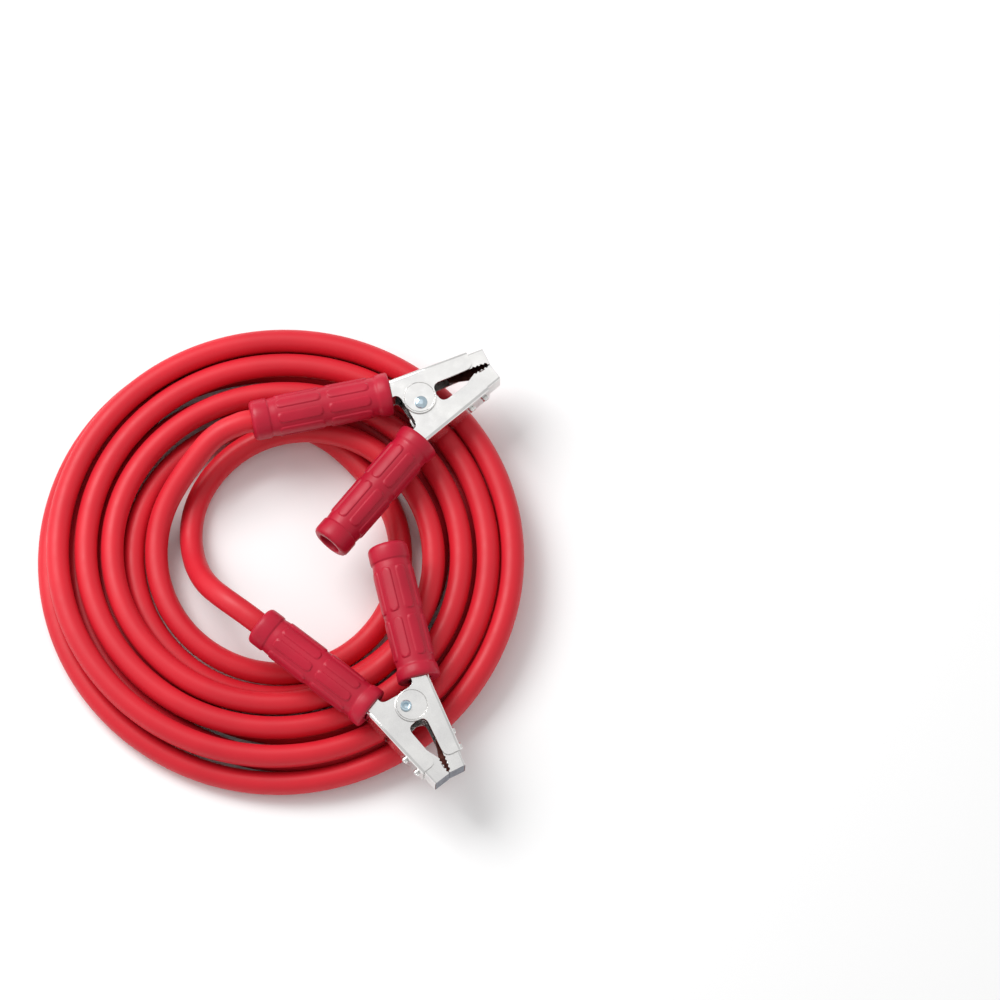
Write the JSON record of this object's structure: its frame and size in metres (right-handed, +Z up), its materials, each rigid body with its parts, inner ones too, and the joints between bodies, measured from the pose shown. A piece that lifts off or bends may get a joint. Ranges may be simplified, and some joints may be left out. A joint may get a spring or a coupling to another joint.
{
  "type": "car jumper cable",
  "caption": "Heavy insulated starter lead wound in a flat coil, with a spring-loaded parrot-jaw battery clamp at each end.",
  "frame": {"origin": "on the surface that the coil lies on, under the middle of the whole part's box, 3.2 mm in front of the coil's own centre", "axes": "+Z up from that surface; +X towards the side of the coil on which both clamps lie; +Y from the clamp that overhangs the coil towards the clamp that lies on it, which is the picture's away direction"},
  "size_m": [0.3504, 0.3568, 0.0681],
  "materials": {
    "cable_jacket": "smooth satin PVC, bright red",
    "moulded_grip": "moulded soft PVC, crimson, satin",
    "plated_arm": "bright zinc-nickel plated sheet steel",
    "contact_jaw": "plated copper alloy, copper tone inside",
    "plated_rivet": "plated tubular rivet",
    "pivot_pin": "bright zinc plated, slightly blue",
    "spring_wire": "dark drawn spring wire"
  },
  "bodies": {
    "cable_and_fixed_arms": {"cable_coil": "cable_jacket", "cable_lead_1": "cable_jacket", "cable_lead_2": "cable_jacket", "clamp_1_arm_a": "plated_arm", "clamp_1_grip_a": "moulded_grip", "clamp_1_jaw_a": "contact_jaw", "clamp_1_rivet_a_1": "plated_rivet", "clamp_1_rivet_a_2": "plated_rivet", "clamp_1_pivot_pin": "pivot_pin", "clamp_1_spring": "spring_wire", "clamp_2_arm_a": "plated_arm", "clamp_2_grip_a": "moulded_grip", "clamp_2_jaw_a": "contact_jaw", "clamp_2_rivet_a_1": "plated_rivet", "clamp_2_rivet_a_2": "plated_rivet", "clamp_2_pivot_pin": "pivot_pin", "clamp_2_spring": "spring_wire"},
    "clamp_1_free_arm": {"clamp_1_arm_b": "plated_arm", "clamp_1_grip_b": "moulded_grip", "clamp_1_jaw_b": "contact_jaw", "clamp_1_rivet_b_1": "plated_rivet", "clamp_1_rivet_b_2": "plated_rivet", "clamp_1_spring_leg": "spring_wire"},
    "clamp_2_free_arm": {"clamp_2_arm_b": "plated_arm", "clamp_2_grip_b": "moulded_grip", "clamp_2_jaw_b": "contact_jaw", "clamp_2_rivet_b_1": "plated_rivet", "clamp_2_rivet_b_2": "plated_rivet", "clamp_2_spring_leg": "spring_wire"}
  },
  "joints": [
    {"name": "clamp_1_pivot", "type": "hinge", "parent": "cable_and_fixed_arms", "child": "clamp_1_free_arm", "pos_m": [0.1002, 0.10444, 0.0488], "axis": [0, 0, -1], "range_deg": [0, 30], "stiffness_Nm_per_rad": 1.2, "springref_deg": -28.65},
    {"name": "clamp_2_pivot", "type": "hinge", "parent": "cable_and_fixed_arms", "child": "clamp_2_free_arm", "pos_m": [0.0896, -0.12206, 0.04808], "axis": [0.0284, -0.044, 0.9986], "range_deg": [0, 30], "stiffness_Nm_per_rad": 1.2, "springref_deg": -28.65}
  ]
}
